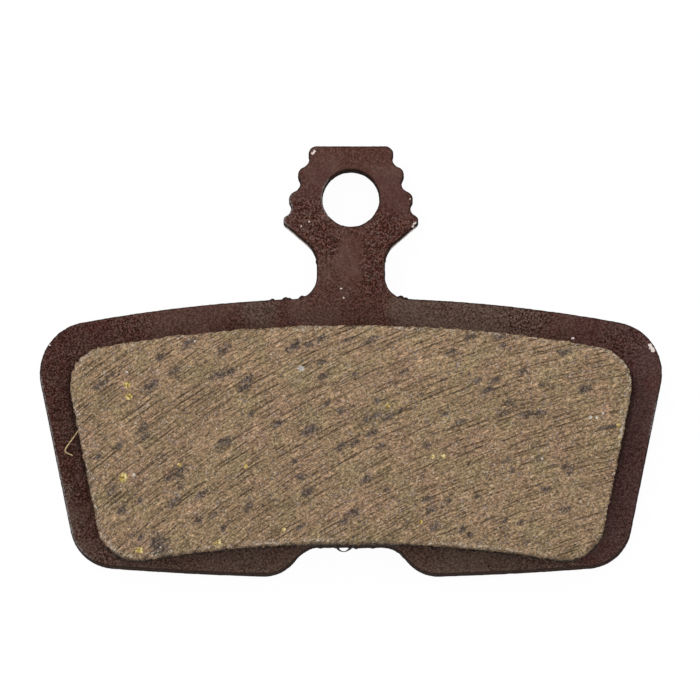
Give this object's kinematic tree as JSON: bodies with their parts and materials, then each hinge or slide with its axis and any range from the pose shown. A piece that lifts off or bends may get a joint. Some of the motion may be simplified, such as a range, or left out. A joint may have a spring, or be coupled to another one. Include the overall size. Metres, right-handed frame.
{
  "type": "disc brake pad",
  "caption": "Flat disc brake pad: coated steel backing plate with a serrated hanging tab and pin hole, carrying a ground block of friction compound.",
  "frame": {"origin": "centre of the pin hole on the plate's back face", "axes": "+X along the pad's length, +Y up the hanging tab, +Z out of the friction face along the pin hole's axis"},
  "size_m": [0.042, 0.0291, 0.0042],
  "materials": {
    "coated_steel": "thin dark red-brown primer, satin, worn to bare steel at corners",
    "friction_compound": "matte ground resin compound with metal and graphite flecks"
  },
  "bodies": {
    "root": {"backing_plate": "coated_steel", "friction_block": "friction_compound"}
  },
  "joints": []
}
